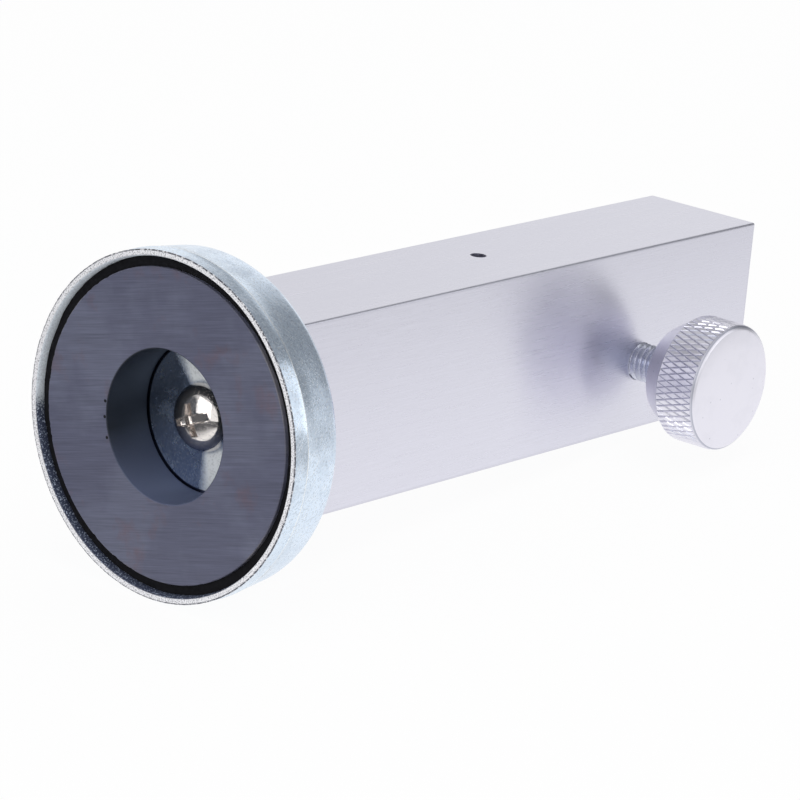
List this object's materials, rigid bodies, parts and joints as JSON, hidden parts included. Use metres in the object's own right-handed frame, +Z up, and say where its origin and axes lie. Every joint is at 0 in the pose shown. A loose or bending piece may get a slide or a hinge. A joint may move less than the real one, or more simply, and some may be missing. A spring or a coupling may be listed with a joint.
{
  "type": "camber caster gauge",
  "caption": "Wheel alignment gauge: aluminium bar with bubble vials behind a scale plate, a knurled zeroing thumbscrew, and a round pot magnet on its end.",
  "frame": {"origin": "centre of the pot magnet's contact plane, the flat front of its cup", "axes": "+X along the bar, away from the wheel; +Y out of the reading face, with the thumbscrew on the -Y side; +Z up through the narrow face with the pivot pin's hole"},
  "size_m": [0.1676, 0.0702, 0.067],
  "materials": {
    "bar_aluminium": "brushed lengthwise, clear anodised",
    "cup_steel": "bright zinc plated, finely scratched",
    "ferrite": "ground face",
    "magnet_filling": "cast",
    "screw_steel": "bright zinc plated",
    "pin_steel": "ground",
    "carrier_aluminium": "milled",
    "vial_glass": "clear",
    "vial_plug": "moulded",
    "vial_spirit": "clear, tinted yellow-green",
    "setting_compound": "cast, matt",
    "plate_anodised": "black anodised, with white scale marks",
    "plate_screw_steel": "stainless",
    "knob_aluminium": "turned, diamond knurled",
    "pad_brass": "turned",
    "spring_steel": "drawn wire"
  },
  "bodies": {
    "body": {"body_block": "bar_aluminium", "magnet_cup": "cup_steel", "ferrite_ring": "ferrite", "magnet_adhesive": "magnet_filling", "magnet_screw": "screw_steel", "pivot_pin": "pin_steel", "camber_vial_glass": "vial_glass", "camber_vial_plugs": "vial_plug", "camber_vial_liquid": "vial_spirit", "camber_vial_bed": "setting_compound", "level_vial_glass": "vial_glass", "level_vial_plugs": "vial_plug", "level_vial_liquid": "vial_spirit", "level_vial_bed": "setting_compound", "scale_plate": "plate_anodised", "plate_screws": "plate_screw_steel", "return_spring": "spring_steel"},
    "screw_tip": {"tip_pad": "pad_brass"},
    "thumbscrew": {"thumbscrew_knob": "knob_aluminium", "thumbscrew_stud": "screw_steel"},
    "carrier": {"caster_carrier": "carrier_aluminium", "caster_vial_glass": "vial_glass", "caster_vial_plugs": "vial_plug", "caster_vial_liquid": "vial_spirit", "caster_vial_bed": "setting_compound"}
  },
  "joints": [
    {"name": "thumbscrew_travel", "type": "slide", "parent": "body", "child": "screw_tip", "axis": [0, 1, 0], "range_m": [-0.00265, 0.00265]},
    {"name": "thumbscrew_turn", "type": "hinge", "parent": "screw_tip", "child": "thumbscrew", "pos_m": [0.131, -0.0137, -0.005], "axis": [0, 1, 0], "range_deg": [-765, 765]},
    {"name": "carrier_tilt", "type": "hinge", "parent": "body", "child": "carrier", "pos_m": [0.0925, 0.0013, -0.005], "axis": [0, 0, 1], "range_deg": [-4, 4], "deforming": ["return_spring"]}
  ],
  "couplings": [
    {"joint": "thumbscrew_turn", "follows": "thumbscrew_travel", "rad_per_m": 5026.5},
    {"joint": "carrier_tilt", "follows": "thumbscrew_travel", "rad_per_m": 25.974}
  ]
}
